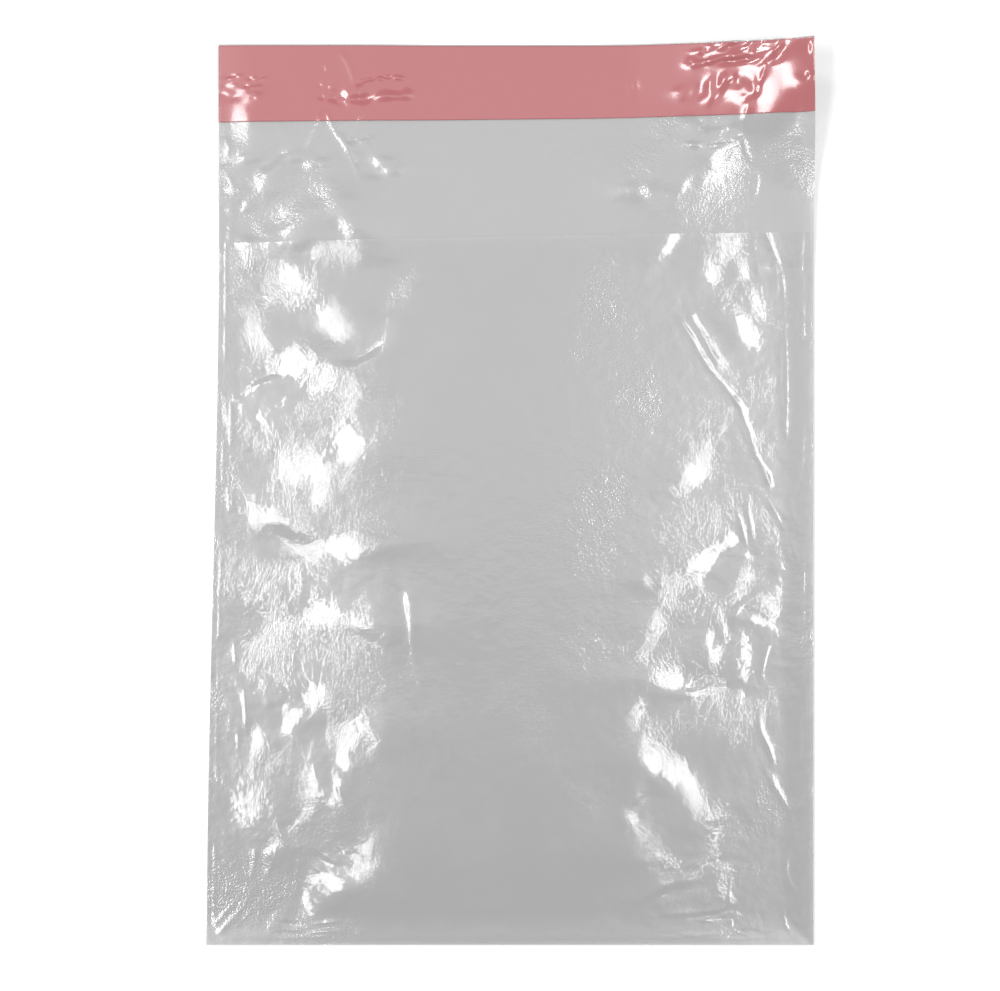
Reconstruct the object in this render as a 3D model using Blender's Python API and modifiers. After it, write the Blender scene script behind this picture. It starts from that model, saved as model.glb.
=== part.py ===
"""A clear plastic mailing bag, lying flat and empty, seen as a Blender model in metres.

The bag is one film, folded at the bottom and welded along both sides. Its back panel runs on past the mouth
as a lip, which carries a full-width strip of adhesive under a peel-off liner. The bag lies on its back
panel. Air holds the front panel up like a low pillow, and the film near both sides is dented and creased.

X is across the bag, +Y runs from the bottom fold to the end of the lip, and +Z is up.
"""

import bmesh
import bpy
import numpy as np

MM = 0.001

# Driving sizes, in millimetres
WIDTH = 250.0
LENGTH = 371.0
LIP_LENGTH = 82.0
FILM = 0.08
WELD_WIDTH = 2.1
LINER_WIDTH = 31.6
LINER_THICKNESS = 0.06
LINER_SETBACK = 0.6
ADHESIVE_WIDTH = 24.0
ADHESIVE_THICKNESS = 0.1
ADHESIVE_SETBACK = 4.4
ADHESIVE_INSET = 3.0
LAYER_GAP = 0.15

# The lie of the film, in millimetres
PILLOW_HEIGHT = 7.6
PILLOW_AT_MOUTH = 6.0
SHOULDER_WIDTH = 66.0
BOTTOM_SHOULDER = 62.0
LEFT_GATHER = 5.0
MOUTH_SKEW = 4.8
LIP_SKEW = 1.5
CORNER_LIFT = 13.0
CONTACT_BLEND = 0.25

# How finely the film is divided
SIDE_ZONE = 80.0
SIDE_COLUMNS = 15
CENTRE_COLUMNS = 5
BODY_ROWS = 46
LIP_ROWS = 9

BOTTOM_Y = -LENGTH / 2
LIP_END_Y = LENGTH / 2
MOUTH_Y = LIP_END_Y - LIP_LENGTH
LINER_END_Y = LIP_END_Y - LINER_SETBACK
LINER_START_Y = LINER_END_Y - LINER_WIDTH
ADHESIVE_END_Y = LINER_END_Y - ADHESIVE_SETBACK
ADHESIVE_START_Y = ADHESIVE_END_Y - ADHESIVE_WIDTH
NARROWEST_FOLD = 3.6

# Dents in the front panel: (x, y, half width, half height, slope, turn in degrees). Each tips the film like
# a small facet, up towards +x for a positive slope, and dies away around it.
BODY_DENTS = (
    (-71.0, 69.0, 12.0, 12.0, 0.14, 20.0),
    (-107.0, 70.0, 6.0, 10.0, 0.16, 0.0),
    (-92.0, 87.0, 9.0, 9.0, 0.16, 10.0),
    (-86.0, 49.0, 22.0, 9.0, 0.13, -18.0),
    (-64.0, 27.0, 9.0, 16.0, 0.16, -12.0),
    (-84.0, 10.0, 16.0, 11.0, 0.15, 30.0),
    (-92.0, -17.0, 16.0, 9.0, 0.16, 12.0),
    (-67.0, -21.0, 11.0, 8.0, 0.15, 0.0),
    (-78.0, -54.0, 27.0, 8.5, 0.16, 0.0),
    (-41.0, -48.0, 5.0, 14.0, 0.14, 0.0),
    (-70.0, -91.0, 16.0, 14.0, 0.16, -20.0),
    (-101.0, -93.0, 10.0, 9.0, 0.10, 0.0),
    (-109.0, -131.0, 8.0, 10.0, 0.16, 0.0),
    (-76.0, -134.0, 10.0, 12.0, 0.15, 25.0),
    (-58.0, -151.0, 9.0, 14.0, 0.17, 20.0),
    (-78.0, -165.0, 10.0, 11.0, 0.17, 0.0),
    (96.0, 88.0, 18.0, 22.0, -0.13, 15.0),
    (72.0, 92.0, 12.0, 20.0, -0.12, 0.0),
    (77.0, 7.0, 11.0, 12.0, -0.19, 20.0),
    (92.0, -28.0, 15.0, 10.0, -0.16, 40.0),
    (66.0, -42.0, 10.0, 12.0, -0.15, 10.0),
    (80.0, -73.0, 22.0, 12.0, -0.15, -8.0),
    (52.0, -93.0, 6.0, 10.0, -0.15, 0.0),
    (65.0, -113.0, 14.0, 15.0, -0.16, 25.0),
    (84.0, -138.0, 9.0, 13.0, -0.16, 10.0),
    (63.0, -153.0, 14.0, 13.0, -0.15, -20.0),
)

# Dents in the lip, in the same form
LIP_DENTS = (
    (-84.0, 116.0, 18.0, 14.0, 0.15, 10.0),
    (-110.0, 150.0, 7.0, 16.0, 0.18, 0.0),
    (68.0, 122.0, 10.0, 12.0, -0.14, 0.0),
    (86.0, 150.0, 12.0, 16.0, -0.13, 25.0),
)

# Folds: (points along the crest, height, half width). The crest dies away at both ends.
BODY_FOLDS = (
    (((66.0, 80.0), (76.0, 52.0), (96.0, 18.0), (118.0, -20.0)), 1.5, 3.6),
    (((98.0, 120.0), (112.0, 85.0), (115.0, 15.0), (119.0, -22.0)), 1.4, 3.6),
    (((119.0, -22.0), (113.0, -45.0), (92.0, -62.0)), 1.0, 4.0),
    (((104.0, -68.0), (105.0, -98.0), (116.0, -128.0), (122.0, -150.0)), 1.4, 3.8),
    (((-121.0, -180.0), (-112.0, -163.0), (-98.0, -140.0), (-95.0, -118.0)), 1.3, 4.0),
    (((-86.0, -146.0), (-88.0, -158.0), (-89.0, -172.0)), 1.1, 3.6),
    (((-41.0, -36.0), (-36.0, -72.0), (-27.0, -118.0)), 0.5, 5.0),
)
LIP_FOLDS = (
    (((115.0, 184.0), (94.0, 168.0), (86.0, 146.0), (84.0, 138.0)), 1.8, 4.0),
    (((-85.0, 140.0), (-77.0, 157.0), (-66.0, 142.0), (-62.0, 128.0)), 1.3, 3.6),
    (((-72.0, 153.0), (-61.0, 143.0), (-50.0, 128.0)), 1.2, 3.6),
)


def clear_scene():
    for thing in list(bpy.data.objects):
        bpy.data.objects.remove(thing, do_unlink=True)


def new_collection(name):
    collection = bpy.data.collections.new(name)
    bpy.context.scene.collection.children.link(collection)
    return collection


def film_material(name, colour, roughness, alpha=1.0):
    """A plastic film: plain colour, how matt it is, and how much of what lies under it it hides."""
    material = bpy.data.materials.new(name)
    material.use_nodes = True
    shader = material.node_tree.nodes["Principled BSDF"]
    shader.inputs["Base Color"].default_value = (*colour, 1.0)
    shader.inputs["Roughness"].default_value = roughness
    shader.inputs["Metallic"].default_value = 0.0
    shader.inputs["Alpha"].default_value = alpha
    material.diffuse_color = (*colour, alpha)
    return material


def ease(t):
    """0 before 0, 1 after 1, and a smooth S between."""
    t = np.clip(t, 0.0, 1.0)
    return t * t * (3.0 - 2.0 * t)


def side_edges(y):
    """The x of the left and the right edge at y. The wrinkles draw the left edge in towards the lip."""
    gather = LEFT_GATHER * ease((y - BOTTOM_Y) / (0.8 * LENGTH))
    return -WIDTH / 2 + gather, np.full_like(y, WIDTH / 2)


def skewed(x, y):
    """y after the gathers of the left side, which leave the right side of the mouth and lip further out."""
    share = ease((y - BOTTOM_Y) / (MOUTH_Y - BOTTOM_Y))
    skew = share * MOUTH_SKEW * (1.0 - ease((y - MOUTH_Y) / LIP_LENGTH))
    skew += LIP_SKEW * ease((y - MOUTH_Y) / LIP_LENGTH) * (1.0 - ease((y - LINER_START_Y) / LINER_WIDTH))
    return y + skew * (x + WIDTH / 2) / WIDTH


def dent(x, y, centre_x, centre_y, half_width, half_height, slope, turn):
    """A facet: the height rises along the facet's own axis at its slope, times a bell over its two radii."""
    angle = np.radians(turn)
    along = (x - centre_x) * np.cos(angle) + (y - centre_y) * np.sin(angle)
    across = (y - centre_y) * np.cos(angle) - (x - centre_x) * np.sin(angle)
    return slope * along * np.exp(-((along / half_width) ** 2) - (across / half_height) ** 2)


def smooth_line(points, steps=8):
    """Points along a smooth line through the given ones (Catmull-Rom)."""
    given = np.array(points)
    ends = np.vstack([2 * given[0] - given[1], given, 2 * given[-1] - given[-2]])
    t = np.linspace(0.0, 1.0, steps, endpoint=False)[:, None]
    runs = []
    for a, b, c, d in zip(ends[:-3], ends[1:-2], ends[2:-1], ends[3:]):
        bend = (2 * a - 5 * b + 4 * c - d) * t**2 + (3 * b - a - 3 * c + d) * t**3
        runs.append(0.5 * (2 * b + (c - a) * t + bend))
    return np.vstack(runs + [given[-1:]])


def fold(x, y, points, height, half_width):
    """A ridge: its height falls off with the distance from its crest line, and towards the line's two ends."""
    line = smooth_line(points)
    steps = np.diff(line, axis=0)
    lengths = np.hypot(steps[:, 0], steps[:, 1])
    reached = np.concatenate([[0.0], np.cumsum(lengths)])
    nearest = np.full(x.shape, np.inf)
    along = np.zeros(x.shape)
    for (start_x, start_y), (step_x, step_y), length, before in zip(line, steps, lengths, reached):
        share = ((x - start_x) * step_x + (y - start_y) * step_y) / length**2
        share = np.clip(share, 0.0, 1.0)
        distance = np.hypot(x - start_x - share * step_x, y - start_y - share * step_y)
        closer = distance < nearest
        nearest = np.where(closer, distance, nearest)
        along = np.where(closer, (before + share * length) / reached[-1], along)
    taper = ease(4.0 * along) * ease(4.0 * (1.0 - along))
    width = max(half_width, NARROWEST_FOLD)
    return height * taper * np.exp(-((nearest / width) ** 2))


def corner_lift(x, y):
    """The free corner of the lip at +x curls up off the table."""
    across = np.clip((x - 48.0) / 77.0, 0.0, 1.0) ** 1.4
    return CORNER_LIFT * across * ease((y - 100.0) / 84.0)


def resting(height):
    """A height that can't go below the table: 0 up to 0, then a short bend into the height itself."""
    bend = 2.0 * CONTACT_BLEND
    lifted = np.where(height > bend, height - CONTACT_BLEND, height**2 / (2.0 * bend))
    return np.where(height > 0.0, lifted, 0.0)


def back_height(x, y):
    """Height of the back panel's upper side above the film that lies flat. The body lies flat; the lip waves."""
    waves = corner_lift(x, y)
    for shape in LIP_DENTS:
        waves = waves + dent(x, y, *shape)
    for points, height, half_width in LIP_FOLDS:
        waves = waves + fold(x, y, points, height, half_width)
    return resting(waves * ease((y - MOUTH_Y + 24.0) / 30.0))


def pocket_height(x, y):
    """Height of the front panel above the back one: a low pillow with dents and folds, and 0 at the welds."""
    left, right = side_edges(y)
    from_side = np.minimum(x - left, right - x) - WELD_WIDTH
    from_bottom = y - BOTTOM_Y - WELD_WIDTH
    top = PILLOW_HEIGHT + (PILLOW_AT_MOUTH - PILLOW_HEIGHT) * ease((y - MOUTH_Y + 90.0) / 90.0)
    side_rise = np.sin(0.5 * np.pi * np.clip(from_side / SHOULDER_WIDTH, 0.0, 1.0))
    bottom_rise = np.sin(0.5 * np.pi * np.clip(from_bottom / BOTTOM_SHOULDER, 0.0, 1.0))
    height = top * side_rise * bottom_rise
    for shape in BODY_DENTS:
        height = height + dent(x, y, *shape)
    for points, crest, half_width in BODY_FOLDS:
        height = height + fold(x, y, points, crest, half_width)
    clear = 0.5 * (height + np.sqrt(height**2 + 0.6**2))
    at_weld = ease(from_side / 7.0) * ease(from_bottom / 7.0)
    return clear * at_weld


def columns(from_weld=False):
    """Shares of the width where the film's columns lie: close along both sides, wide over the middle."""
    side = np.linspace(WELD_WIDTH, SIDE_ZONE, SIDE_COLUMNS + 1)
    middle = np.linspace(SIDE_ZONE, WIDTH - SIDE_ZONE, CENTRE_COLUMNS + 1)[1:-1]
    inner = np.concatenate([side, middle, WIDTH - side[::-1]])
    if not from_weld:
        inner = np.concatenate([[0.0], inner, [WIDTH]])
    return inner / WIDTH


def body_rows(from_weld=False):
    rows = np.linspace(BOTTOM_Y + WELD_WIDTH, MOUTH_Y, BODY_ROWS + 1)
    return rows if from_weld else np.concatenate([[BOTTOM_Y], rows])


def adhesive_rows():
    return np.linspace(ADHESIVE_START_Y, ADHESIVE_END_Y, 5)


def liner_rows():
    return np.concatenate([[LINER_START_Y], adhesive_rows(), [LINER_END_Y]])


def lip_rows():
    return np.concatenate([np.linspace(MOUTH_Y, LINER_START_Y, LIP_ROWS + 1)[:-1], liner_rows(), [LIP_END_Y]])


def add_skin(bm, shares, rows, height, facing_up=True):
    """A grid with a column at each share of the width and a row at each y, lifted to height(x, y)."""
    made = bmesh.ops.create_grid(bm, x_segments=len(shares) - 1, y_segments=len(rows) - 1, size=1.0)
    verts = made["verts"]
    unit = np.array([v.co for v in verts])
    column = np.rint((unit[:, 0] + 1.0) / 2.0 * (len(shares) - 1)).astype(int)
    row = np.rint((unit[:, 1] + 1.0) / 2.0 * (len(rows) - 1)).astype(int)
    plain_y = np.asarray(rows)[row]
    left, right = side_edges(plain_y)
    x = left + (right - left) * np.asarray(shares)[column]
    y = skewed(x, plain_y)
    z = height(x, plain_y)
    for vert, place in zip(verts, np.stack([x, y, z], axis=1) * MM):
        vert.co = place
    if not facing_up:
        bmesh.ops.reverse_faces(bm, faces=list({face for vert in verts for face in vert.link_faces}))


def add_rim(bm, lower, upper):
    """A strip one face high that closes the gap between two edges with the same number of points."""
    made = bmesh.ops.create_grid(bm, x_segments=len(lower) - 1, y_segments=1, size=1.0)
    for vert in made["verts"]:
        place = int(round((vert.co.x + 1.0) / 2.0 * (len(lower) - 1)))
        vert.co = (upper if vert.co.y > 0.0 else lower)[place] * MM


def edge_line(shares, rows, height):
    """The points of one edge: one column and many rows, or one row and many columns."""
    shares, rows = np.broadcast_arrays(np.asarray(shares, float), np.asarray(rows, float))
    left, right = side_edges(rows)
    x = left + (right - left) * shares
    return np.stack([x, skewed(x, rows), height(x, rows)], axis=1)


def under_side(x, y):
    return back_height(x, y)


def back_top(x, y):
    return back_height(x, y) + FILM


def front_inside(x, y):
    return back_top(x, y) + pocket_height(x, y)


def front_outside(x, y):
    return front_inside(x, y) + FILM


def make_bag_film(collection, material):
    """The folded and welded film. Its skins are the under side, the lip's top, and the front panel's outer
    side, with the pocket's floor and ceiling between them; rims close them along every edge of the film."""
    bm = bmesh.new()
    whole, inner = columns(), columns(from_weld=True)
    every_row = np.concatenate([body_rows(), lip_rows()[1:]])
    add_skin(bm, whole, every_row, under_side, facing_up=False)
    add_skin(bm, whole, lip_rows(), back_top)
    add_skin(bm, whole, body_rows(), front_outside)
    add_skin(bm, inner, body_rows(from_weld=True), back_top)
    add_skin(bm, inner, body_rows(from_weld=True), front_inside, facing_up=False)
    for share in (0.0, 1.0):
        add_rim(bm, edge_line(share, every_row, under_side), edge_line(share, every_row, back_top))
        add_rim(bm, edge_line(share, body_rows(), front_inside), edge_line(share, body_rows(), front_outside))
    for row in (BOTTOM_Y, LIP_END_Y):
        add_rim(bm, edge_line(whole, row, under_side), edge_line(whole, row, back_top))
    for row in (BOTTOM_Y, MOUTH_Y):
        add_rim(bm, edge_line(whole, row, front_inside), edge_line(whole, row, front_outside))
    bmesh.ops.remove_doubles(bm, verts=bm.verts, dist=0.004 * MM)
    bmesh.ops.recalc_face_normals(bm, faces=bm.faces)
    return add_object(collection, "bag_film", bm, material)


def make_layer(collection, name, material, rows, inset, base, thickness):
    """A flat strip laid on the lip: a sheet that follows the lip at a small height, with its own thickness."""
    shares = columns()
    shares = shares[(shares * WIDTH >= inset) & (shares * WIDTH <= WIDTH - inset)]
    shares = np.concatenate([[inset / WIDTH], shares[1:-1], [1.0 - inset / WIDTH]])
    bm = bmesh.new()
    add_skin(bm, shares, rows, lambda x, y: back_top(x, y) + base)
    strip = add_object(collection, name, bm, material)
    solid = strip.modifiers.new("thickness", "SOLIDIFY")
    solid.thickness = thickness * MM
    solid.offset = 1.0
    return strip


def add_object(collection, name, bm, material):
    mesh = bpy.data.meshes.new(name)
    bm.to_mesh(mesh)
    bm.free()
    mesh.materials.append(material)
    mesh.shade_smooth()
    mesh.set_sharp_from_angle(angle=np.radians(40.0))
    made = bpy.data.objects.new(name, mesh)
    collection.objects.link(made)
    return made


def main():
    clear_scene()
    collection = new_collection("clear_mailing_bag")
    clear_film = film_material("clear_film", (0.52, 0.52, 0.52), 0.12, alpha=0.6)
    glue = film_material("adhesive", (0.62, 0.50, 0.48), 0.4, alpha=0.8)
    liner_film = film_material("liner_film", (0.55, 0.227, 0.227), 0.15)
    make_bag_film(collection, clear_film)
    adhesive_base = LAYER_GAP
    liner_base = adhesive_base + ADHESIVE_THICKNESS + LAYER_GAP
    make_layer(collection, "adhesive_strip", glue, adhesive_rows(), ADHESIVE_INSET, adhesive_base, ADHESIVE_THICKNESS)
    make_layer(collection, "release_liner", liner_film, liner_rows(), 0.0, liner_base, LINER_THICKNESS)


main()
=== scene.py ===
"""The looks of a clear self-seal mailing bag that lies flat and empty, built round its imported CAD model.

The CAD gives each piece its place, size and lie. Here the film, the adhesive and the liner are drawn again as
fine grids worked out with numpy, so that their dents, folds and welds catch the light. X is across the bag,
+Y runs from the bottom fold to the end of the lip, and lengths are in millimetres until a mesh is made.
"""

import math

import bpy
import numpy as np
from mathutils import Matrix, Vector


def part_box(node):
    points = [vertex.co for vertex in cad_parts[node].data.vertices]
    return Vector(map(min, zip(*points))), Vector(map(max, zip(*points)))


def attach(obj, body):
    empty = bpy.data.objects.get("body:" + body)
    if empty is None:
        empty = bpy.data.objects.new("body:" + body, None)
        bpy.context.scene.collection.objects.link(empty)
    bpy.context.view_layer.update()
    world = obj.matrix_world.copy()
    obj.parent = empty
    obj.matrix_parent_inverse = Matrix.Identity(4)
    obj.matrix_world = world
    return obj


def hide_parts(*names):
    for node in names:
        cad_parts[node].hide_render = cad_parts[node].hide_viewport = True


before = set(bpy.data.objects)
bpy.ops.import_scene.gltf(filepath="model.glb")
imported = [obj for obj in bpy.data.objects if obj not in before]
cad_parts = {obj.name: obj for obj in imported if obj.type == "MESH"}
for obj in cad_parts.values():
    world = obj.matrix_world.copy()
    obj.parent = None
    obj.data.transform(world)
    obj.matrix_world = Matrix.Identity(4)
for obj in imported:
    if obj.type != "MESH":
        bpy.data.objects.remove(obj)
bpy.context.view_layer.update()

MM = 0.001

# Sizes taken from the frame
film_low, film_high = (np.array(corner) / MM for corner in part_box("bag_film"))
liner_low, liner_high = (np.array(corner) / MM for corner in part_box("release_liner"))
glue_low, glue_high = (np.array(corner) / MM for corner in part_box("adhesive_strip"))
WIDTH = film_high[0] - film_low[0]
BOTTOM_Y, LIP_END_Y = film_low[1], film_high[1]
LENGTH = LIP_END_Y - BOTTOM_Y
LINER_START_Y, LINER_END_Y = liner_low[1], liner_high[1]
GLUE_START_Y, GLUE_END_Y = glue_low[1], glue_high[1]
GLUE_INSET = glue_low[0] - film_low[0]

# Sizes of the film
LIP_LENGTH = 82.0
MOUTH_Y = LIP_END_Y - LIP_LENGTH
FILM = 0.08
WELD_WIDTH = 2.1
GLUE_HEIGHT = 0.15
GLUE_THICKNESS = 0.1
LINER_HEIGHT = 0.4
LINER_THICKNESS = 0.06

# The lie of the film
LEFT_GATHER = 5.0
MOUTH_SKEW = 4.8
LIP_SKEW = 1.5
CORNER_LIFT = 18.0
CORNER_WIDTH, CORNER_DEPTH = 77.0, 84.0
EDGE_LIFT, EDGE_WIDTH = 1.5, 14.0
LIP_FLOAT = 1.6
CONTACT_BLEND = 0.25
BOTTOM_REACH = 100.0
MOUTH_REACH = 90.0
PILLOW_HEIGHT = 6.1
LEFT_REACH, RIGHT_REACH = 90.0, 122.9
PILLOW_START = 20.0
PILLOW_AT_MOUTH = 0.78
WAVER = 0.8
SPREAD_X, SPREAD_Y = 1.6, 1.1
DENT_REACH = 2.2
LONGEST_FACET = 1.6
DAMPING = 0.05
FOLD_END = 6.0
BEAD_HEIGHT = 0.1
WELD_STEP = 0.02

# How finely the grids are divided
SIDE_ZONE = 84.0
SIDE_PITCH = 0.5
MIDDLE_PITCH = 2.0
ROW_PITCH = 0.7
FLAT_ROW_PITCH = 3.0
LIP_PITCH = 0.6
LINER_PITCH = 0.4

# Camera and lamps, in metres
CAMERA_HEIGHT = 1.0
PICTURE_WIDTH = 0.4125
PICTURE_CENTRE = (-0.0041, -0.0004)
SENSOR_WIDTH = 36.0
LAMP_HEIGHT = 1.5
LAMP_FROM, LAMP_TO = 0.56, 0.92
LAMP_LENGTH = 0.95
LAMP_RADIANCE = 12.5
KEY_PLACE = (-1.3, 1.3, 1.3)
KEY_TURN = (math.radians(-45.0), math.radians(-35.0), 0.0)
KEY_SIZE = 0.35
KEY_RADIANCE = 25.0
CEILING_FROM, CEILING_TO = -0.1, 0.75
CEILING_WIDTH = 1.0
CEILING_RADIANCE = 0.75
WORLD_STRENGTH = 0.35

# Dents in the front panel: (x, y, half length, half breadth, tilt, turn in degrees). Each tips the film towards
# the middle of the bag like a small facet. At a tilt of 1 its middle mirrors a soft box into the camera.
BODY_DENTS = (
    (-66.0, 98.0, 4.0, 4.5, 0.80, -30.0),
    (-77.0, 100.0, 7.0, 3.5, 0.85, 0.0),
    (-110.0, 98.0, 2.0, 4.0, 0.90, 0.0),
    (-89.5, 86.0, 6.0, 7.5, 1.00, 0.0),
    (-100.0, 83.0, 2.8, 4.5, 1.00, 0.0),
    (-71.5, 69.0, 10.0, 5.0, 1.00, -38.0),
    (-107.0, 69.0, 4.0, 8.0, 0.95, 0.0),
    (-102.0, 62.0, 2.0, 3.0, 0.75, 0.0),
    (-58.0, 56.5, 6.5, 2.0, 1.00, 32.0),
    (-48.0, 72.0, 16.0, 4.0, 0.55, 68.0),
    (-115.5, 79.0, 2.0, 3.5, 0.90, 0.0),
    (-115.5, 66.5, 1.8, 5.0, 0.90, 0.0),
    (-113.3, 52.5, 6.0, 1.5, 0.90, 70.0),
    (-90.0, 53.0, 8.5, 6.5, 1.00, 0.0),
    (-75.0, 45.5, 6.5, 5.5, 1.00, 0.0),
    (-104.0, 45.5, 7.0, 2.5, 0.95, 20.0),
    (-65.0, 40.0, 6.5, 2.8, 0.95, 65.0),
    (-65.0, 19.5, 7.0, 9.0, 0.95, 0.0),
    (-86.0, 12.0, 11.0, 6.5, 1.00, -35.0),
    (-78.5, -1.0, 2.5, 4.5, 1.00, 0.0),
    (-103.0, 31.0, 2.0, 2.0, 0.70, 0.0),
    (-112.0, 37.0, 4.0, 1.3, 0.90, -60.0),
    (-103.5, -12.5, 7.0, 6.0, 0.95, -20.0),
    (-90.5, -19.0, 5.0, 5.0, 1.00, 0.0),
    (-79.5, -21.0, 6.0, 5.5, 1.00, 0.0),
    (-64.0, -21.0, 7.5, 5.5, 0.95, 0.0),
    (-97.0, -54.0, 6.8, 7.0, 1.00, 0.0),
    (-85.0, -52.0, 4.0, 5.0, 0.75, 0.0),
    (-77.5, -51.5, 5.5, 6.5, 1.00, 0.0),
    (-63.0, -54.0, 7.0, 7.5, 0.95, 0.0),
    (-52.0, -60.0, 4.0, 6.0, 0.65, 0.0),
    (-41.0, -51.0, 10.0, 1.9, 0.95, 94.0),
    (-80.0, -84.0, 4.0, 5.5, 1.00, 0.0),
    (-90.5, -94.0, 6.0, 3.5, 1.00, 55.0),
    (-94.0, -88.0, 3.0, 2.5, 0.75, 0.0),
    (-104.5, -100.0, 2.7, 6.5, 0.95, 0.0),
    (-63.5, -97.0, 8.0, 9.0, 0.95, 0.0),
    (-68.0, -111.0, 2.5, 6.0, 0.90, 0.0),
    (-55.5, -103.0, 2.0, 4.0, 0.85, 0.0),
    (-110.0, -129.5, 6.0, 8.5, 0.85, 0.0),
    (-83.0, -123.0, 3.0, 9.0, 0.95, 0.0),
    (-74.0, -129.0, 9.0, 2.6, 0.95, -75.0),
    (-71.0, -121.0, 6.0, 1.5, 0.95, -72.0),
    (-88.0, -136.0, 2.0, 2.0, 0.95, 0.0),
    (-83.0, -131.0, 2.0, 2.5, 0.90, 0.0),
    (-59.5, -147.5, 7.0, 10.0, 0.90, 0.0),
    (-64.0, -156.0, 5.0, 5.0, 0.85, 0.0),
    (-98.0, -147.0, 3.5, 6.0, 0.95, 0.0),
    (-76.0, -150.5, 4.5, 2.0, 1.00, -25.0),
    (-79.5, -163.0, 8.0, 9.0, 1.00, 0.0),
    (-98.0, -172.0, 8.0, 2.0, 0.75, 70.0),
    (-82.0, -176.5, 9.0, 0.8, 0.95, 0.0),
    (-83.0, -180.5, 9.0, 0.9, 0.95, 0.0),
    (-85.0, -183.0, 8.0, 0.8, 0.95, 0.0),
    (65.5, 99.0, 9.0, 2.3, 1.00, 67.0),
    (90.0, 97.0, 4.5, 6.5, 0.95, 0.0),
    (84.0, 87.5, 6.0, 3.0, 0.95, -60.0),
    (97.5, 88.0, 2.2, 5.0, 0.90, 0.0),
    (95.5, 66.0, 9.0, 3.0, 0.95, -62.0),
    (101.0, 76.0, 1.8, 6.0, 0.90, 0.0),
    (105.0, 68.0, 5.0, 11.0, 0.55, 0.0),
    (107.0, 88.5, 2.5, 2.0, 0.75, 0.0),
    (80.0, 58.0, 13.0, 3.5, 0.65, -52.0),
    (91.0, 31.5, 2.0, 1.0, 0.80, 0.0),
    (80.0, 8.5, 4.5, 7.5, 0.90, 0.0),
    (74.0, 5.5, 3.5, 6.5, 0.80, 0.0),
    (68.5, -1.0, 3.5, 3.0, 0.70, 30.0),
    (92.5, -22.0, 2.5, 4.5, 0.90, 0.0),
    (98.5, -27.5, 1.5, 2.0, 0.90, 0.0),
    (84.5, -26.0, 3.0, 8.0, 0.85, 0.0),
    (77.5, -31.0, 4.5, 7.5, 0.90, 0.0),
    (70.5, -38.0, 4.5, 3.5, 0.90, 20.0),
    (64.0, -40.0, 2.8, 6.5, 0.90, 0.0),
    (79.5, -40.0, 1.8, 4.0, 0.85, 0.0),
    (56.0, -38.0, 2.5, 4.0, 0.65, 0.0),
    (94.5, -40.0, 6.5, 1.8, 0.90, 70.0),
    (100.0, -36.0, 4.0, 4.0, 0.60, 0.0),
    (105.0, -46.0, 3.0, 3.0, 0.70, 0.0),
    (103.0, -53.5, 5.0, 2.2, 0.80, 0.0),
    (112.0, -47.0, 3.5, 8.0, 0.75, 0.0),
    (109.0, -54.0, 3.0, 3.5, 0.75, 0.0),
    (113.5, -33.0, 1.8, 4.0, 0.80, 0.0),
    (60.0, -55.0, 3.0, 4.5, 0.95, 0.0),
    (57.0, -64.0, 5.0, 1.8, 0.95, 62.0),
    (66.0, -77.5, 8.0, 6.0, 0.90, 0.0),
    (80.0, -82.5, 7.0, 2.2, 0.85, 0.0),
    (88.5, -81.0, 1.8, 2.5, 0.80, 0.0),
    (95.0, -83.0, 1.2, 2.5, 0.80, 0.0),
    (85.5, -67.5, 2.8, 6.5, 0.90, 0.0),
    (81.5, -61.0, 5.5, 1.3, 0.85, 75.0),
    (97.5, -69.0, 3.0, 9.0, 0.80, 0.0),
    (95.5, -77.0, 1.5, 3.0, 0.80, 0.0),
    (87.5, -55.0, 6.0, 1.0, 0.90, -70.0),
    (120.0, -72.0, 3.0, 2.0, 0.55, 0.0),
    (118.5, -84.5, 1.5, 2.0, 0.75, 0.0),
    (52.5, -91.0, 6.0, 2.2, 1.00, 68.0),
    (58.0, -108.0, 5.0, 9.0, 0.95, 0.0),
    (70.0, -115.0, 5.5, 8.5, 0.95, 0.0),
    (76.5, -124.5, 2.5, 6.5, 0.90, 0.0),
    (53.5, -124.0, 2.2, 5.0, 1.00, 0.0),
    (51.0, -133.0, 5.5, 1.8, 1.00, -68.0),
    (60.0, -145.0, 8.0, 9.0, 0.65, 0.0),
    (57.0, -152.0, 2.5, 2.0, 0.60, 0.0),
    (69.0, -151.0, 4.0, 2.5, 0.65, 0.0),
    (83.5, -138.5, 5.0, 9.5, 0.90, 0.0),
    (83.5, -151.5, 5.5, 1.3, 0.85, 8.0),
    (62.5, -164.0, 6.0, 1.8, 0.95, 30.0),
    (75.5, -159.5, 4.5, 1.5, 0.90, 30.0),
    (87.5, -162.0, 2.2, 6.0, 0.90, 0.0),
    (89.0, -156.0, 3.0, 1.5, 0.80, 25.0),
    (92.0, -167.0, 1.2, 2.0, 0.75, 0.0),
    (76.0, -173.0, 7.0, 1.2, 0.85, 8.0),
    (85.0, -171.0, 4.0, 0.8, 0.80, 5.0),
    (84.0, -174.5, 4.0, 0.8, 0.80, 0.0),
    (95.0, -173.5, 2.0, 1.0, 0.75, -30.0),
    (88.0, -181.0, 13.0, 0.9, 0.80, 0.0),
    (82.0, -183.2, 14.0, 0.9, 0.80, 0.0),
)

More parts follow.
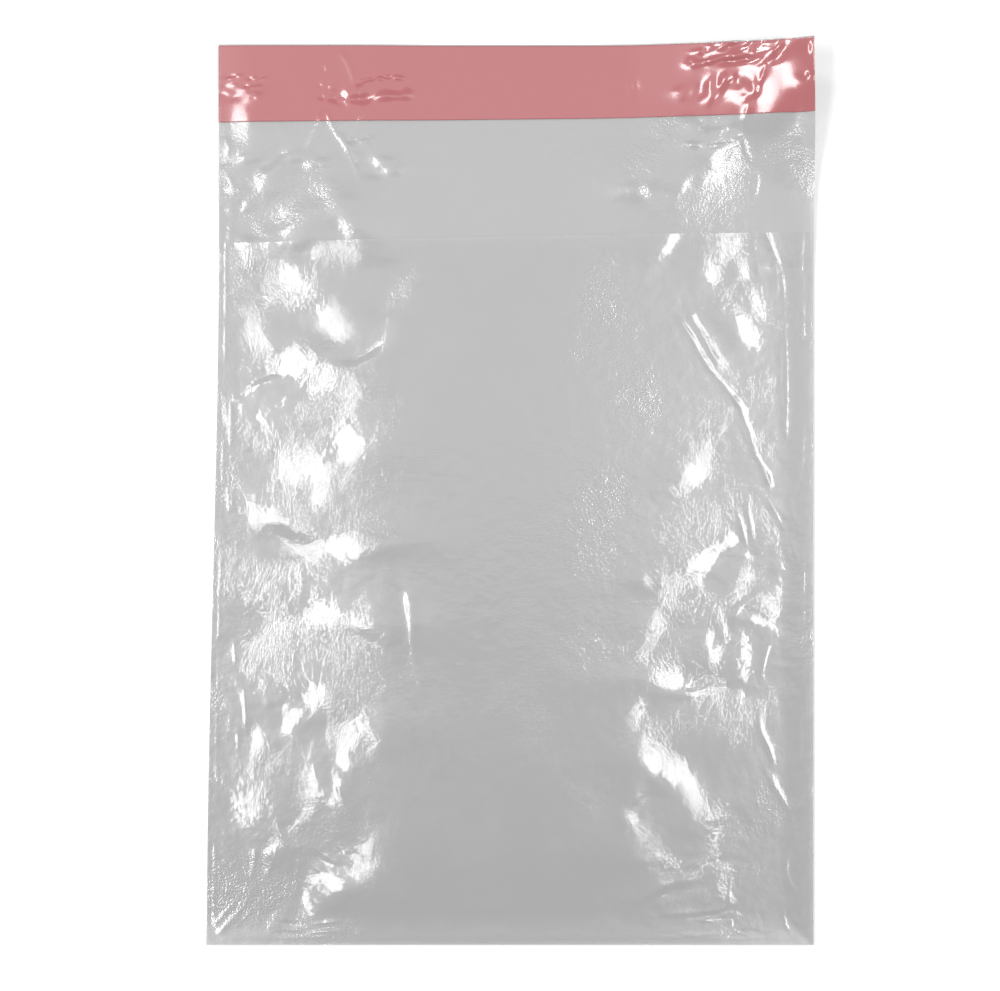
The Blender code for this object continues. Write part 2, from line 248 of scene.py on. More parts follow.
# Dents in the lip, in the same form
LIP_DENTS = (
    (-71.5, 115.0, 14.0, 3.5, 0.85, -62.0),
    (-84.0, 116.0, 6.0, 8.0, 0.60, 0.0),
    (-110.0, 153.0, 3.5, 8.0, 0.90, 0.0),
    (-113.5, 138.0, 4.0, 2.5, 0.90, 15.0),
    (-103.5, 127.0, 3.0, 4.0, 0.85, 0.0),
    (-98.0, 135.5, 9.0, 2.0, 0.90, 38.0),
    (-115.0, 124.5, 2.5, 1.5, 0.85, -20.0),
    (-109.5, 118.0, 3.0, 0.9, 0.90, 60.0),
    (-115.7, 116.0, 1.3, 2.0, 0.80, 0.0),
    (-116.5, 108.0, 4.0, 0.9, 0.80, 75.0),
    (-105.5, 108.5, 7.5, 2.6, 0.90, -72.0),
    (-95.5, 111.0, 6.0, 9.0, 0.90, 0.0),
    (-112.0, 103.0, 2.5, 2.0, 0.80, 0.0),
    (-54.0, 134.5, 6.0, 2.3, 0.95, -45.0),
    (-83.0, 136.0, 3.0, 2.2, 0.90, -20.0),
    (-77.0, 134.5, 2.3, 0.9, 0.80, -60.0),
    (-62.5, 144.5, 3.0, 0.9, 0.80, 5.0),
    (-59.3, 146.0, 1.2, 1.2, 0.75, 0.0),
    (55.5, 121.0, 2.8, 3.5, 0.95, 20.0),
    (72.5, 123.5, 5.5, 1.4, 0.90, 72.0),
    (79.2, 150.5, 2.2, 3.8, 1.00, 0.0),
    (80.0, 141.0, 5.0, 1.0, 0.80, 5.0),
    (88.0, 147.5, 2.5, 1.2, 0.80, 25.0),
    (93.5, 143.5, 2.8, 1.2, 0.90, 35.0),
    (84.0, 126.0, 12.0, 13.0, 0.55, 0.0),
    (90.0, 141.0, 7.0, 9.0, 0.55, 0.0),
    (95.5, 131.0, 2.5, 4.0, 0.50, 0.0),
    (92.5, 125.5, 1.5, 5.0, 0.50, 0.0),
    (113.0, 154.0, 8.0, 3.0, 0.50, 60.0),
)

# Short ripples where the lip and its strips were bent together, in the same form
LINER_DENTS = (
    (-110.0, 164.0, 5.0, 3.0, 0.65, 0.0),
    (-113.5, 171.7, 1.8, 0.7, 1.00, 0.0),
    (-116.3, 171.0, 0.7, 0.9, 1.00, 0.0),
    (-107.0, 171.6, 1.6, 0.7, 0.95, 0.0),
    (-102.7, 171.8, 0.7, 1.0, 0.95, -40.0),
    (-115.5, 167.7, 2.0, 0.8, 0.95, 10.0),
    (-108.0, 168.2, 1.7, 0.7, 0.90, 0.0),
    (-104.7, 168.5, 0.7, 0.7, 0.90, 0.0),
    (-117.0, 164.5, 1.8, 0.8, 0.85, -20.0),
    (-104.5, 163.5, 0.8, 1.3, 0.75, 0.0),
    (-75.7, 175.0, 0.6, 1.3, 0.95, 0.0),
    (-77.0, 168.2, 0.7, 0.9, 0.95, 0.0),
    (-73.7, 167.8, 0.7, 1.5, 0.90, -30.0),
    (-76.5, 163.0, 0.8, 1.3, 0.80, 0.0),
    (-71.5, 162.8, 1.3, 1.3, 0.85, 0.0),
    (-67.5, 163.5, 1.6, 3.2, 0.90, 0.0),
    (-59.3, 169.7, 1.0, 1.2, 0.90, 0.0),
    (-55.5, 170.4, 1.8, 0.8, 0.90, 0.0),
    (-49.0, 170.8, 2.0, 0.8, 0.85, 0.0),
    (-55.5, 163.0, 5.0, 1.6, 0.90, 0.0),
    (-44.7, 164.3, 1.4, 2.3, 0.85, 0.0),
    (-31.5, 164.0, 0.7, 2.3, 0.80, 0.0),
    (11.0, 176.0, 0.7, 1.2, 0.90, 0.0),
    (14.5, 173.0, 0.7, 2.0, 0.90, 0.0),
    (12.0, 168.0, 0.7, 1.3, 0.85, 0.0),
    (20.0, 164.0, 0.8, 2.0, 0.85, 0.0),
    (51.3, 166.5, 0.7, 3.2, 0.80, 0.0),
    (74.5, 164.0, 2.0, 3.5, 0.75, 0.0),
    (76.5, 177.0, 1.2, 2.5, 0.65, 0.0),
    (79.0, 182.0, 1.0, 1.0, 0.85, 0.0),
    (85.0, 176.5, 4.0, 1.3, 0.75, 10.0),
    (94.0, 178.0, 3.0, 1.0, 0.90, 15.0),
    (92.0, 184.0, 5.5, 1.4, 1.00, 28.0),
    (100.0, 183.0, 3.0, 0.8, 0.75, 45.0),
    (108.0, 179.0, 5.0, 1.5, 0.85, 55.0),
    (87.5, 164.0, 7.0, 1.3, 0.75, 60.0),
    (92.0, 168.0, 1.5, 3.0, 0.70, 0.0),
    (83.5, 166.0, 1.0, 3.0, 0.55, 0.0),
    (101.8, 166.0, 1.0, 3.0, 0.85, 0.0),
    (98.5, 160.0, 3.0, 1.0, 0.90, 60.0),
    (122.5, 180.0, 0.8, 2.5, 0.75, 0.0),
    (122.5, 168.5, 0.8, 1.5, 0.75, 0.0),
)

# Folds: (points along the crest, slope of the flanks, half width). The crest dies away at both ends.
BODY_FOLDS = (
    (((-97.0, -133.0), (-94.0, -140.5), (-91.0, -144.5), (-87.0, -145.5), (-82.0, -143.5)), 0.22, 1.4),
    (((-86.5, -147.0), (-87.5, -155.0), (-88.5, -163.0), (-89.5, -170.0)), 0.19, 1.1),
    (((-86.5, -146.5), (-84.0, -150.5), (-80.0, -153.5), (-74.0, -157.0)), 0.11, 1.2),
    (((-124.0, -180.0), (-116.0, -170.5), (-108.0, -161.0), (-105.5, -152.0), (-105.0, -143.0)), 0.18, 1.6),
    (((-122.0, -183.0), (-111.0, -171.0), (-103.0, -161.0), (-98.0, -152.0), (-96.0, -144.0)), 0.18, 2.0),
    (((-123.5, -177.0), (-121.0, -166.0), (-119.5, -157.0), (-122.0, -147.0)), 0.18, 1.0),
    (((-120.0, -157.5), (-115.0, -153.5), (-111.0, -148.0)), 0.16, 1.0),
    (((-112.0, -178.0), (-107.5, -172.5), (-104.0, -168.5), (-103.0, -170.5), (-105.0, -180.0)), 0.16, 1.0),
    (((-72.0, -117.0), (-69.5, -124.0), (-67.0, -130.0), (-62.0, -138.0)), 0.18, 1.2),
    (((-42.0, -39.5), (-40.0, -60.0), (-36.5, -75.0), (-32.0, -88.0), (-29.0, -105.0), (-28.0, -118.0)), 0.11, 3.5),
    (((-117.0, 41.0), (-117.0, 34.0), (-117.0, 27.0)), 0.16, 0.9),
    (((-115.0, 41.0), (-115.0, 28.0), (-115.0, 14.0)), 0.18, 1.3),
    (((-116.3, 5.0), (-116.0, -10.0), (-115.0, -27.0)), 0.16, 0.9),
    (((-114.3, 4.0), (-114.8, -10.0), (-115.0, -22.0)), 0.14, 0.9),
    (((-114.5, -46.0), (-114.0, -58.0), (-113.0, -71.0)), 0.19, 1.1),
    (((-112.5, -46.0), (-111.0, -54.0), (-110.0, -63.0)), 0.16, 0.9),
    (((-110.0, -79.0), (-109.0, -90.0), (-109.0, -100.0)), 0.16, 1.1),
    (((-112.5, -93.0), (-112.0, -100.0), (-112.0, -107.0)), 0.16, 1.0),
    (((-122.0, -48.0), (-121.5, -60.0), (-121.0, -76.0)), 0.16, 0.9),
    (((-122.0, -82.0), (-121.5, -100.0), (-121.5, -112.0), (-120.5, -122.0)), 0.16, 0.9),
    (((99.5, 117.0), (104.0, 106.5), (108.0, 97.5), (111.5, 88.0), (113.0, 75.0), (113.8, 55.0), (114.0, 35.0),
      (113.5, 16.0)), 0.18, 1.2),
    (((103.0, 110.0), (107.0, 99.0), (109.5, 88.0), (110.5, 77.0)), 0.15, 1.3),
    (((112.0, 62.0), (111.5, 45.0), (112.5, 30.0), (113.0, 22.0)), 0.14, 0.9),
    (((98.5, 115.0), (97.5, 110.0), (100.0, 104.0), (102.0, 101.0)), 0.16, 1.2),
    (((100.0, 103.0), (101.0, 95.0), (102.0, 88.0), (103.0, 82.0)), 0.14, 0.9),
    (((67.0, 72.0), (74.0, 62.0), (80.0, 51.5), (87.0, 42.5), (93.0, 35.0), (96.0, 29.0), (99.0, 21.0),
      (101.0, 14.0), (104.0, 8.0), (108.5, -1.5)), 0.19, 1.3),
    (((72.0, 74.0), (78.0, 64.0), (83.0, 55.0), (88.0, 47.0)), 0.16, 1.8),
    (((81.0, 57.0), (83.5, 53.5), (85.5, 50.0)), 0.15, 0.9),
    (((90.0, 38.0), (95.0, 33.0), (98.5, 28.0)), 0.16, 1.5),
    (((94.0, 27.0), (97.0, 21.0), (99.5, 14.0)), 0.15, 0.8),
    (((104.0, 10.0), (106.0, 3.0), (108.5, -2.0)), 0.16, 1.2),
    (((122.0, 109.0), (121.5, 95.0), (120.8, 82.0)), 0.16, 0.9),
    (((121.5, 70.0), (121.5, 60.0), (122.5, 55.0)), 0.16, 0.9),
    (((122.5, 33.0), (122.5, 25.0), (122.0, 15.0), (121.0, 5.0), (119.5, -3.0)), 0.18, 0.9),
    (((118.0, 5.0), (119.0, 0.0), (120.0, -5.0)), 0.16, 1.0),
    (((93.0, -8.0), (95.5, -16.0), (98.0, -27.0)), 0.15, 1.5),
    (((97.0, -5.0), (99.0, -14.0), (100.5, -24.0)), 0.16, 1.1),
    (((105.5, -3.0), (109.0, -10.0), (113.0, -17.0), (116.0, -19.5)), 0.16, 0.9),
    (((109.0, -7.0), (113.0, -11.0), (116.0, -13.0)), 0.15, 0.9),
    (((115.5, 0.0), (116.0, -8.0), (118.0, -14.0), (120.0, -18.0)), 0.16, 0.9),
    (((116.0, -20.0), (118.0, -28.0), (120.5, -33.0), (122.0, -36.0), (121.0, -40.0)), 0.16, 0.9),
    (((110.0, -33.0), (111.0, -38.0), (115.0, -40.5)), 0.15, 1.0),
    (((114.5, -23.0), (115.0, -27.0), (114.0, -31.0)), 0.15, 1.0),
    (((91.0, -54.0), (95.0, -48.0), (101.0, -44.0), (106.0, -42.0)), 0.18, 1.2),
    (((108.0, -60.0), (105.5, -68.0), (104.0, -74.0), (103.5, -80.0)), 0.18, 0.9),
    (((122.0, -76.0), (121.0, -80.0), (121.5, -86.0)), 0.16, 0.9),
    (((121.0, -90.0), (121.0, -98.0), (121.0, -108.0), (122.0, -116.0), (122.5, -122.0)), 0.16, 0.9),
    (((103.0, -90.0), (103.5, -98.0), (107.0, -106.0), (109.5, -114.0)), 0.16, 1.4),
    (((104.0, -112.0), (107.0, -118.0), (111.0, -125.0), (114.0, -131.0)), 0.16, 1.4),
    (((106.0, -113.0), (110.0, -121.0), (114.0, -128.5), (117.0, -137.0), (118.5, -144.0), (121.5, -150.0),
      (123.5, -156.0)), 0.18, 1.0),
    (((114.0, -128.5), (117.5, -130.5), (120.0, -129.0), (122.0, -126.5)), 0.18, 0.9),
    (((119.0, -116.0), (118.0, -119.0), (117.5, -122.0)), 0.15, 0.9),
    (((119.5, -145.5), (116.0, -147.0), (114.0, -152.0), (115.0, -159.0), (118.0, -164.0), (121.5, -167.5),
      (123.5, -171.0)), 0.20, 1.2),
    (((117.0, -150.0), (119.0, -154.0), (121.0, -157.0), (123.0, -158.0)), 0.16, 0.9),
    (((114.5, -169.5), (113.0, -173.0), (114.0, -178.0), (116.5, -181.0)), 0.18, 1.0),
    (((114.5, -169.5), (117.0, -175.0), (121.0, -178.5), (123.0, -180.0)), 0.18, 1.0),
    (((118.0, -177.5), (121.0, -182.0), (123.0, -184.0)), 0.16, 0.9),
    (((91.0, -154.0), (90.5, -163.0), (90.5, -172.0), (92.0, -179.0), (97.0, -181.5), (102.0, -182.0)), 0.16, 0.9),
)
LIP_FOLDS = (
    (((-119.0, 149.5), (-116.5, 145.5), (-116.0, 141.0), (-117.5, 137.5)), 0.20, 1.1),
    (((-118.5, 133.0), (-115.0, 129.0), (-113.0, 123.0)), 0.20, 1.1),
    (((-76.5, 160.0), (-78.5, 153.0), (-81.0, 147.0), (-85.0, 140.0)), 0.23, 1.4),
    (((-76.5, 160.0), (-73.0, 151.0), (-68.0, 143.0), (-64.5, 136.0), (-61.0, 127.0)), 0.23, 1.3),
    (((-70.5, 150.0), (-68.0, 145.0), (-64.5, 141.5), (-60.0, 140.0)), 0.25, 1.3),
    (((-64.0, 150.0), (-61.5, 154.5), (-60.3, 160.0)), 0.24, 1.2),
    (((-71.0, 184.0), (-66.0, 176.0), (-63.0, 165.0), (-62.5, 158.0)), 0.12, 2.2),
    (((113.5, 188.0), (107.0, 178.0), (104.0, 171.0), (101.5, 163.0)), 0.24, 1.5),
    (((103.0, 170.0), (100.0, 162.0), (97.0, 154.0), (95.5, 146.0)), 0.20, 2.2),
    (((95.5, 147.0), (96.5, 141.0), (98.0, 136.0), (100.5, 131.5)), 0.16, 1.6),
    (((101.0, 132.0), (101.8, 126.0), (100.8, 120.0), (99.5, 116.0)), 0.22, 1.3),
)


def ease(t):
    """0 before 0, 1 after 1, and a smooth S between: 3t^2 - 2t^3."""
    t = np.clip(t, 0.0, 1.0)
    return t * t * (3.0 - 2.0 * t)


def side_edges(y):
    """The x of the left and the right edge at y. The wrinkles draw the left edge in towards the lip."""
    gather = LEFT_GATHER * ease((y - BOTTOM_Y) / (0.8 * LENGTH))
    return -WIDTH / 2 + gather, np.full_like(y, WIDTH / 2)


def skewed(x, y):
    """y after the gathers of the left side, which leave the right side of the mouth and lip further out."""
    share = ease((y - BOTTOM_Y) / (MOUTH_Y - BOTTOM_Y))
    skew = share * MOUTH_SKEW * (1.0 - ease((y - MOUTH_Y) / LIP_LENGTH))
    at_liner = ease((y - LINER_START_Y) / (LINER_END_Y - LINER_START_Y))
    skew += LIP_SKEW * ease((y - MOUTH_Y) / LIP_LENGTH) * (1.0 - at_liner)
    return y + skew * (x + WIDTH / 2) / WIDTH


def mirror_slope(x):
    """The slope of film at x that mirrors the nearer soft box into the camera: half of what the slopes of the
    two sight lines, up to the lamp and up to the camera, differ by."""
    lamp = 0.5 * (LAMP_FROM + LAMP_TO) / MM
    return -math.copysign(0.5, x) * ((lamp - abs(x)) * MM / LAMP_HEIGHT - abs(x) * MM / CAMERA_HEIGHT)


def dent(x, y, centre_x, centre_y, half_length, half_breadth, turn):
    """A facet over a turned oval p x^2 + 2 q x y + r y^2 = 1: along x its slope is a smooth bell, 1 in the
    middle and 0 outside the oval. Its height is length tanh(u) e^-(u / DENT_REACH)^2 e^-v^2, where length is
    SPREAD_X / sqrt(p), u = (x + q y / p) / length and v^2 = (r - q^2 / p) y^2 / SPREAD_Y^2."""
    angle = math.radians(turn)
    off_x, off_y = x - centre_x, y - centre_y
    long, short = half_length**-2, half_breadth**-2
    p = long * math.cos(angle) ** 2 + short * math.sin(angle) ** 2
    q = math.cos(angle) * math.sin(angle) * (long - short)
    r = long * math.sin(angle) ** 2 + short * math.cos(angle) ** 2
    length = SPREAD_X / math.sqrt(p)
    u = (off_x + q * off_y / p) / length
    bell = np.exp(-((u / DENT_REACH) ** 2) - (r - q**2 / p) * (off_y / SPREAD_Y) ** 2)
    return length * np.tanh(u) * bell


def facets(centre_x, centre_y, half_length, half_breadth, tilt, turn):
    """A dent that is long across the bag, as a row of facets end to end, so that no flank gets steep. Gives
    each facet's slope and shape."""
    angle = math.radians(turn)
    longest = LONGEST_FACET * half_breadth
    count = max(1, math.ceil(half_length * abs(math.cos(angle)) / longest))
    for number in range(count):
        off = half_length * (2 * number + 1 - count) / count
        x, y = centre_x + off * math.cos(angle), centre_y + off * math.sin(angle)
        yield tilt * mirror_slope(x), (x, y, half_length / count, half_breadth, turn)


def dented(plain, dents):
    """The facets of a list of dents, each with its share. The shares are worked out together (damped least
    squares), so that with its neighbours and the plain form each facet's middle has its own slope."""
    slopes, shapes = zip(*(facet for shape in dents for facet in facets(*shape)))
    middle_x, middle_y = np.array(shapes).T[:2]
    step = 0.05
    ahead, behind = middle_x + step, middle_x - step
    lacking = np.array(slopes) - (plain(ahead, middle_y) - plain(behind, middle_y)) / (2.0 * step)
    gains = [(dent(ahead, middle_y, *shape) - dent(behind, middle_y, *shape)) / (2.0 * step) for shape in shapes]
    gains = np.array(gains).T
    damped = gains.T @ gains + DAMPING * np.eye(len(shapes))
    return list(zip(np.linalg.solve(damped, gains.T @ lacking), shapes))


def smooth_line(points, steps=8):
    """Points along a smooth line through the given ones (Catmull-Rom)."""
    given = np.array(points)
    ends = np.vstack([2 * given[0] - given[1], given, 2 * given[-1] - given[-2]])
    t = np.linspace(0.0, 1.0, steps, endpoint=False)[:, None]
    runs = []
    for a, b, c, d in zip(ends[:-3], ends[1:-2], ends[2:-1], ends[3:]):
        bend = (2 * a - 5 * b + 4 * c - d) * t**2 + (3 * b - a - 3 * c + d) * t**3
        runs.append(0.5 * (2 * b + (c - a) * t + bend))
    return np.vstack(runs + [given[-1:]])


def fold(x, y, points, slope, half_width, sharp=0.3):
    """A ridge along a line: its height falls off as exp(-1.7 r), where r is the distance from the crest in
    half widths, rounded over the crest, and it dies away at the line's two ends. Its flanks reach the slope."""
    height = slope * half_width
    given = np.array(points)
    reach = 4.0 * half_width + 4.0
    near = (x > given[:, 0].min() - reach) & (x < given[:, 0].max() + reach)
    near &= (y > given[:, 1].min() - reach) & (y < given[:, 1].max() + reach)
    ridge = np.zeros(x.shape)
    near_x, near_y = x[near], y[near]
    line = smooth_line(points)
    steps = np.diff(line, axis=0)
    lengths = np.hypot(steps[:, 0], steps[:, 1])
    reached = np.concatenate([[0.0], np.cumsum(lengths)])
    nearest = np.full(near_x.shape, np.inf)
    along = np.zeros(near_x.shape)
    for (start_x, start_y), (step_x, step_y), length, before in zip(line, steps, lengths, reached):
        share = ((near_x - start_x) * step_x + (near_y - start_y) * step_y) / length**2
        share = np.clip(share, 0.0, 1.0)
        distance = np.hypot(near_x - start_x - share * step_x, near_y - start_y - share * step_y)
        closer = distance < nearest
        nearest = np.where(closer, distance, nearest)
        along = np.where(closer, before + share * length, along)
    end = min(FOLD_END, 0.5 * reached[-1])
    taper = ease(along / end) * ease((reached[-1] - along) / end)
    r = np.sqrt((nearest / half_width) ** 2 + sharp**2) - sharp
    ridge[near] = height * taper * np.exp(-1.7 * r)
    return ridge


def wavy(x, y):
    """x and y moved by up to WAVER along sine waves that cross, so that no dent is a plain oval."""
    moved_x = x + WAVER * np.sin(y / 6.1 + 1.3 * np.sin(x / 9.7))
    moved_y = y + WAVER * np.sin(x / 5.3 + 1.7 * np.sin(y / 8.3))
    return moved_x, moved_y


def shaped(x, y, dents, folds):
    """The sum of dents, each with its share, and folds."""
    total = np.zeros(x.shape)
    wavy_x, wavy_y = wavy(x, y)
    for share, shape in dents:
        total += share * dent(wavy_x, wavy_y, *shape)
    for points, slope, half_width in folds:
        total += fold(x, y, points, slope, half_width)
    return total


def corner_lift(x, y):
    """The free corner of the lip at +x curls up off the table."""
    across = np.clip((x - WIDTH / 2 + CORNER_WIDTH) / CORNER_WIDTH, 0.0, 1.0) ** 1.4
    return CORNER_LIFT * across * ease((y - LIP_END_Y + CORNER_DEPTH) / CORNER_DEPTH)


def edge_lift(x, y):
    """The right edge and the bottom fold spring up a little from the table."""
    right = np.clip((x - WIDTH / 2 + EDGE_WIDTH) / EDGE_WIDTH, 0.0, 1.0)
    bottom = np.clip((BOTTOM_Y + EDGE_WIDTH - y) / EDGE_WIDTH, 0.0, 1.0)
    return EDGE_LIFT * np.maximum(right, bottom) ** 2


def resting(height):
    """A height that can't go below the table: 0 up to 0, then a short bend into the height itself."""
    bend = 2.0 * CONTACT_BLEND
    lifted = np.where(height > bend, height - CONTACT_BLEND, height**2 / (2.0 * bend))
    return np.where(height > 0.0, lifted, 0.0)


def hump(t, start, top_from, top_to, end):
    """0 before start, 1 from top_from to top_to, 0 after end, with smooth S curves between."""
    return ease((t - start) / (top_from - start)) * ease((end - t) / (end - top_to))


def plain_lip(x, y):
    """Height of the lip without its dents and folds: two broad low waves and the curled corner."""
    floating = hump(x, -145.0, -105.0, -62.0, -20.0) + ease((x - 20.0) / 45.0)
    return LIP_FLOAT * floating + corner_lift(x, y)


def back_height(x, y):
    """Height of the back panel above the table. The body lies flat; the lip waves and its corner lifts."""
    waves = plain_lip(x, y) + shaped(x, y, lip_shares, LIP_FOLDS)
    return resting(waves * ease((y - MOUTH_Y + 24.0) / 30.0)) + edge_lift(x, y)


def rise(distance, reach):
    """0 at a side weld to 1 at the reach: (cos(k start) - cos(k (distance + start))) / (cos(k start) + 1), where
    k = pi / (reach + start). The slope is under way at the weld, grows, and dies away where it is level."""
    k = math.pi / (reach + PILLOW_START)
    first = math.cos(k * PILLOW_START)
    return (first - np.cos(k * (np.clip(distance, 0.0, reach) + PILLOW_START))) / (first + 1.0)


def from_welds(x, y):
    """Distances from the weld on the left, the weld on the right and the bottom fold."""
    left, right = side_edges(y)
    distances = (x - left - WELD_WIDTH, right - x - WELD_WIDTH, y - BOTTOM_Y - WELD_WIDTH)
    return [np.maximum(distance, 0.0) for distance in distances]


def pillow(x, y):
    """Height of the front panel without its dents and folds: a low pillow, lower towards the mouth."""
    from_left, from_right, from_bottom = from_welds(x, y)
    side = np.minimum(rise(from_left, LEFT_REACH), rise(from_right, RIGHT_REACH))
    bottom = np.sqrt(np.sin(0.5 * math.pi * np.clip(from_bottom / BOTTOM_REACH, 0.0, 1.0)))
    mouth = 1.0 - (1.0 - PILLOW_AT_MOUTH) * ease((y - MOUTH_Y + MOUTH_REACH) / MOUTH_REACH)
    return PILLOW_HEIGHT * side * bottom * mouth


def pocket_height(x, y):
    """Height of the front panel above the back one: the pillow with its dents, folds and broken weld beads."""
    from_left, from_right, from_bottom = from_welds(x, y)
    from_side = np.minimum(from_left, from_right)
    broken = ease(0.5 + np.sin(y / 13.0 + 2.0 * np.sin(y / 31.0)) + 0.8 * np.sin(y / 3.7 + x / 50.0))
    bead = BEAD_HEIGHT * broken * np.exp(-(((from_side - 0.9) / 0.7) ** 2)) * ease(from_side / 0.4)
    near_weld = ease(from_side / 2.5) * ease(from_bottom / 2.5)
    plain = pillow(x, y)
    height = plain + shaped(x, y, body_shares, BODY_FOLDS) * near_weld
    least = 0.3 * plain
    blend = CONTACT_BLEND * ease(from_side / 12.0) * ease(from_bottom / 12.0)
    return bead + 0.5 * (height + least + np.sqrt((height - least) ** 2 + blend**2) - blend)


body_shares = dented(pillow, BODY_DENTS)
lip_shares = dented(plain_lip, LIP_DENTS + LINER_DENTS)


def spaced(start, end, pitch):
    """Evenly spaced values from start to end, no further apart than pitch."""
    return np.linspace(start, end, int(math.ceil((end - start) / pitch)) + 1)


def columns(side_pitch=SIDE_PITCH, middle_pitch=MIDDLE_PITCH):
    """Shares of the width where the columns lie: close along both sides, wider over the middle."""
    side = spaced(WELD_WIDTH, SIDE_ZONE, side_pitch)
    middle = spaced(SIDE_ZONE, WIDTH - SIDE_ZONE, middle_pitch)[1:-1]
    weld = spaced(0.0, WELD_WIDTH, 0.7)[:-1]
    half = np.concatenate([weld, side])
    return np.concatenate([half, middle, WIDTH - half[::-1]]) / WIDTH


def grid_points(shares, rows, height):
    """Points of a sheet: the column's share of the width between the two edges, the skewed row, height(x, y)."""
    share, y = np.meshgrid(shares, rows)
    left, right = side_edges(y)
    x = left + (right - left) * share
    drawn_in = corner_lift(x, y) ** 2 / (2.0 * CORNER_WIDTH)
    return np.stack([x - drawn_in, skewed(x, y), height(x, y)], axis=-1)


def sheet_object(name, points, material):
    """A mesh with one quad between each four neighbours of the grid, facing up."""
    rows, across = points.shape[:2]
    corner = (np.arange(rows - 1)[:, None] * across + np.arange(across - 1)).ravel()
    faces = np.stack([corner, corner + 1, corner + across + 1, corner + across], axis=1)
    mesh = bpy.data.meshes.new(name)
    mesh.from_pydata((points.reshape(-1, 3) * MM).tolist(), [], faces.tolist())
    mesh.materials.append(material)
    mesh.shade_smooth()
    made = bpy.data.objects.new(name, mesh)
    bpy.context.scene.collection.objects.link(made)
    return made


def linear(hex_colour):
    """An sRGB hex colour as linear red, green, blue and 1."""
    values = np.array([int(hex_colour[i : i + 2], 16) for i in (1, 3, 5)]) / 255.0
    values = np.where(values <= 0.04045, values / 12.92, ((values + 0.055) / 1.055) ** 2.4)
    return (*values.tolist(), 1.0)


# The film's grain and the patches where it is strong: their sizes and the grain's height, in metres
GRAIN_SIZE = 0.9 * MM
PATCH_SIZE = 25.0 * MM
GRAIN_HEIGHT = 0.15 * MM
CRINKLE_SIZE = 6.0 * MM
CRINKLE_HEIGHT = 0.25 * MM


def add_node(tree, kind, settings=(), inputs=(), links=()):
    """Adds a node, sets its properties and input values, and links outputs of other nodes to its inputs."""
    node = tree.nodes.new(kind)
    for name, value in dict(settings).items():
        setattr(node, name, value)
    for name, value in dict(inputs).items():
        node.inputs[name].default_value = value
    for name, (source, output) in dict(links).items():
        tree.links.new(source.outputs[output], node.inputs[name])
    return node


def new_material(name):
    material = bpy.data.materials.new(name)
    material.use_nodes = True
    material.node_tree.nodes.clear()
    return material, material.node_tree


def film_material(name, haze, haze_colour):
    """Blown low-density polyethylene, 80 microns: clear, with the soft gloss that the blowing leaves. Both of its
    faces mirror, so a sheet of it sends back twice what one face does. Haze is the share that shows a flat diffuse
    colour instead of letting light through: a little on the front panel, and most of the back panel and lip, where
    it gives the bag the grey that shows through it."""
    material, tree = new_material(name)
    through = add_node(tree, "ShaderNodeBsdfTransparent", inputs={"Color": (1.0, 1.0, 1.0, 1.0)})
    scatter = add_node(tree, "ShaderNodeBsdfDiffuse", inputs={"Color": linear(haze_colour)})
    body = add_node(tree, "ShaderNodeMixShader", inputs={0: haze}, links={1: (through, 0), 2: (scatter, 0)})
    place = add_node(tree, "ShaderNodeTexCoord")
    crinkle = add_node(
        tree, "ShaderNodeTexNoise", inputs={"Scale": 1.0 / CRINKLE_SIZE, "Detail": 2.0}, links={"Vector": (place, "Object")}
    )
    crinkled = add_node(
        tree, "ShaderNodeBump", inputs={"Distance": CRINKLE_HEIGHT, "Strength": 1.0}, links={"Height": (crinkle, 0)}
    )
    grain = add_node(
        tree, "ShaderNodeTexNoise", inputs={"Scale": 1.0 / GRAIN_SIZE, "Detail": 1.0}, links={"Vector": (place, "Object")}
    )
    patches = add_node(
        tree, "ShaderNodeTexNoise", inputs={"Scale": 1.0 / PATCH_SIZE, "Detail": 1.0}, links={"Vector": (place, "Object")}
    )
    strength = add_node(
        tree,
        "ShaderNodeMapRange",
        inputs={"From Min": 0.4, "From Max": 0.65, "To Min": 0.1, "To Max": 1.0},
        links={"Value": (patches, 0)},
    )
    pebbled = add_node(
        tree,
        "ShaderNodeBump",
        inputs={"Distance": GRAIN_HEIGHT},
        links={"Height": (grain, 0), "Strength": (strength, 0), "Normal": (crinkled, 0)},
    )
    clear = (1.0, 1.0, 1.0, 1.0)
    sharp = add_node(
        tree, "ShaderNodeBsdfAnisotropic", inputs={"Color": clear, "Roughness": 0.12}, links={"Normal": (pebbled, 0)}
    )
    soft = add_node(
        tree, "ShaderNodeBsdfAnisotropic", inputs={"Color": clear, "Roughness": 0.36}, links={"Normal": (pebbled, 0)}
    )
    gloss = add_node(tree, "ShaderNodeMixShader", inputs={0: 0.5}, links={1: (sharp, 0), 2: (soft, 0)})
    facing = add_node(tree, "ShaderNodeLayerWeight", inputs={"Blend": 0.5})
    fifth = add_node(
        tree, "ShaderNodeMath", {"operation": "POWER"}, inputs={1: 5.0}, links={0: (facing, "Facing")}
    )
    mirrored = add_node(
        tree, "ShaderNodeMath", {"operation": "MULTIPLY_ADD"}, inputs={1: 0.92, 2: 0.08}, links={0: (fifth, 0)}
    )
    both = add_node(tree, "ShaderNodeMixShader", links={0: (mirrored, 0), 1: (body, 0), 2: (gloss, 0)})
    add_node(tree, "ShaderNodeOutputMaterial", links={"Surface": (both, 0)})
    return material


def plain_material(name, colour, roughness, coat=0.0):
    material, tree = new_material(name)
    shader = add_node(
        tree,
        "ShaderNodeBsdfPrincipled",
        inputs={"Base Color": linear(colour), "Roughness": roughness, "Coat Weight": coat, "Coat Roughness": 0.12},
    )
    add_node(tree, "ShaderNodeOutputMaterial", links={"Surface": (shader, 0)})
    return material


